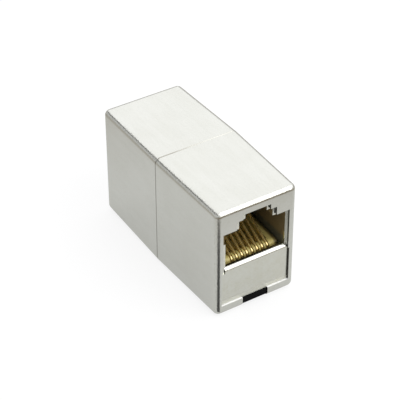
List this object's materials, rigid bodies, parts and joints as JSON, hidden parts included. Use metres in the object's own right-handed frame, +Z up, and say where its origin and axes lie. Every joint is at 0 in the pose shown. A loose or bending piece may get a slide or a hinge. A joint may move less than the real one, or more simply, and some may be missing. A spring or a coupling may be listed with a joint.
{
  "type": "inline network coupler",
  "caption": "Plated rectangular block with a stepped modular jack opening in each end and gold spring contacts inside, joining network plugs end to end.",
  "frame": {"origin": "under the middle of the seam, at the bottom of the coupler", "axes": "+Y along the coupler from the front end (at -Y) to the rear end, +X across, +Z up towards the latch side of the jacks"},
  "size_m": [0.0164, 0.0362, 0.0219],
  "materials": {
    "satin_nickel_shell": "satin nickel plating on a moulded shell, finely grained",
    "nickel_sheet": "bright nickel-plated sheet, slightly warm",
    "black_housing": "black moulded plastic, semi-gloss",
    "amber_carrier": "amber-tan moulded plastic, semi-gloss",
    "gold_wire": "gold-plated spring wire, polished",
    "board_laminate": "green solder mask on glass-epoxy laminate"
  },
  "bodies": {
    "root": {"front_shell": "satin_nickel_shell", "front_shield": "nickel_sheet", "front_housing": "black_housing", "front_contact_carrier": "amber_carrier", "front_contact_1": "gold_wire", "front_contact_2": "gold_wire", "front_contact_3": "gold_wire", "front_contact_4": "gold_wire", "front_contact_5": "gold_wire", "front_contact_6": "gold_wire", "front_contact_7": "gold_wire", "front_contact_8": "gold_wire", "rear_shell": "satin_nickel_shell", "rear_shield": "nickel_sheet", "rear_housing": "black_housing", "rear_contact_carrier": "amber_carrier", "rear_contact_1": "gold_wire", "rear_contact_2": "gold_wire", "rear_contact_3": "gold_wire", "rear_contact_4": "gold_wire", "rear_contact_5": "gold_wire", "rear_contact_6": "gold_wire", "rear_contact_7": "gold_wire", "rear_contact_8": "gold_wire", "circuit_board": "board_laminate"}
  },
  "joints": []
}
